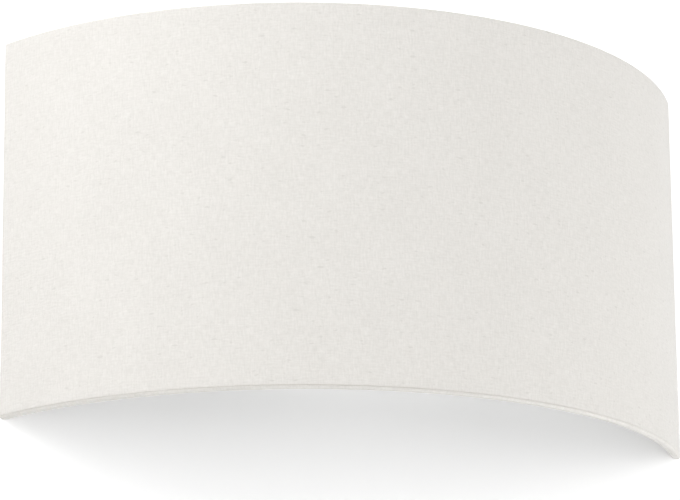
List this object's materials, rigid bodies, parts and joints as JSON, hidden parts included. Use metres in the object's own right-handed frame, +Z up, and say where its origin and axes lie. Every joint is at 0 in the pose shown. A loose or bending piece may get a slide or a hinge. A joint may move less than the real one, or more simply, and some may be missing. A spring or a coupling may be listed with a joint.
{
  "type": "fabric shade wall light",
  "caption": "Half-drum wall light: linen shade on a wire frame that lifts off a wall bracket, with a screw-base lampholder, lamp and thumb nuts.",
  "frame": {"origin": "centre of the wall bracket's rear face, on the wall plane, at the middle of the shade's height", "axes": "+X along the wall to the right as seen from the room, +Y into the wall, +Z up"},
  "size_m": [0.35, 0.105, 0.19],
  "materials": {
    "shade_cloth": "natural off-white linen, plain weave with slubs",
    "lining_film": "white matt backing film",
    "frame_paint": "white painted wire",
    "white_powder_coat": "white satin powder coat",
    "zinc_steel": "zinc plated",
    "bush_rubber": "matt black",
    "terminal_plastic": "natural moulded",
    "terminal_brass": "satin",
    "tinned_metal": "tinned",
    "brown_insulation": "smooth brown wire cover",
    "blue_insulation": "smooth blue wire cover",
    "green_yellow_insulation": "green wire cover with a yellow stripe",
    "holder_plastic": "white moulded",
    "contact_ceramic": "unglazed steatite",
    "dark_insulator": "dark vitrite",
    "lamp_cap_metal": "rolled nickel-plated",
    "lamp_plastic": "white moulded collar",
    "opal_diffuser": "opal, unlit",
    "board_white": "white solder mask"
  },
  "bodies": {
    "base": {"wall_bracket": "white_powder_coat", "shade_studs": "zinc_steel", "electrical_cover": "white_powder_coat", "cover_screws": "zinc_steel", "entry_bush": "bush_rubber", "lead_bush": "bush_rubber", "terminal_block": "terminal_plastic", "terminal_barrels": "terminal_brass", "clamp_screws": "zinc_steel", "block_screw": "zinc_steel", "earth_tongue": "tinned_metal", "earth_screw": "terminal_brass", "live_wire": "brown_insulation", "neutral_wire": "blue_insulation", "earth_wire": "green_yellow_insulation", "lamp_arm": "white_powder_coat", "arm_rivets": "zinc_steel", "hollow_nipple": "zinc_steel", "nipple_nuts": "zinc_steel", "tooth_washer": "zinc_steel", "lampholder_cap": "holder_plastic", "lampholder_shell": "holder_plastic", "lampholder_insert": "contact_ceramic", "thread_shell": "terminal_brass", "centre_contact": "terminal_brass", "holder_terminals": "terminal_brass", "holder_terminal_screws": "terminal_brass"},
    "shade": {"shade_fabric": "shade_cloth", "shade_lining": "lining_film", "top_rolled_hem": "shade_cloth", "bottom_rolled_hem": "shade_cloth", "left_side_hem": "shade_cloth", "right_side_hem": "shade_cloth", "top_ring_wire": "frame_paint", "bottom_ring_wire": "frame_paint", "left_end_wire": "frame_paint", "right_end_wire": "frame_paint", "left_hanger_plate": "frame_paint", "right_hanger_plate": "frame_paint"},
    "lamp": {"lamp_tip": "tinned_metal", "lamp_insulator": "dark_insulator", "lamp_cap": "lamp_cap_metal", "lamp_collar": "lamp_plastic", "lamp_globe": "opal_diffuser", "led_board": "board_white"},
    "left_washer": {"left_stud_washer": "zinc_steel"},
    "left_nut": {"left_thumb_nut": "terminal_brass"},
    "right_washer": {"right_stud_washer": "zinc_steel"},
    "right_nut": {"right_thumb_nut": "terminal_brass"}
  },
  "joints": [
    {"name": "shade_lift", "type": "slide", "parent": "base", "child": "shade", "axis": [0, 0, 1], "range_m": [0, 0.2]},
    {"name": "lamp_removal", "type": "slide", "parent": "base", "child": "lamp", "axis": [0, 0, 1], "range_m": [0, 0.03]},
    {"name": "left_nut_travel", "type": "slide", "parent": "base", "child": "left_washer", "axis": [0, -1, 0], "range_m": [0, 0.0042]},
    {"name": "left_nut_turn", "type": "hinge", "parent": "left_washer", "child": "left_nut", "pos_m": [-0.14816, -0.0043, 0], "axis": [0, -1, 0], "range_deg": [0, 2160]},
    {"name": "right_nut_travel", "type": "slide", "parent": "base", "child": "right_washer", "axis": [0, -1, 0], "range_m": [0, 0.0042]},
    {"name": "right_nut_turn", "type": "hinge", "parent": "right_washer", "child": "right_nut", "pos_m": [0.14816, -0.0043, 0], "axis": [0, -1, 0], "range_deg": [0, 2160]}
  ],
  "couplings": [
    {"joint": "left_nut_travel", "follows": "left_nut_turn", "m_per_rad": 0.0001114},
    {"joint": "right_nut_travel", "follows": "right_nut_turn", "m_per_rad": 0.0001114}
  ]
}
